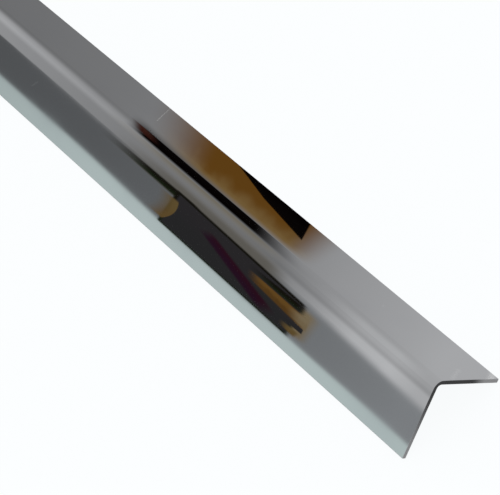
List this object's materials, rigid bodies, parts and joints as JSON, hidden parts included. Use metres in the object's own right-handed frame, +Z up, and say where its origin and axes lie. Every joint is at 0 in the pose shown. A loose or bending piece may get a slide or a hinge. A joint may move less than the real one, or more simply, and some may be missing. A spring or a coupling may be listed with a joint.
{
  "type": "ceiling corner trim",
  "caption": "Long right-angle strip of mirror-polished sheet steel that caps the outside corner where a ceiling edge turns down.",
  "frame": {"origin": "the middle of the plane that the long edges of the two legs rest on: mid width, mid length", "axes": "+X across the trim, +Y along its length, +Z up from the resting edges to the fold's ridge"},
  "size_m": [0.0422, 2.44, 0.021],
  "materials": {
    "polished_steel": "polished"
  },
  "bodies": {
    "root": {"corner_trim": "polished_steel"}
  },
  "joints": []
}
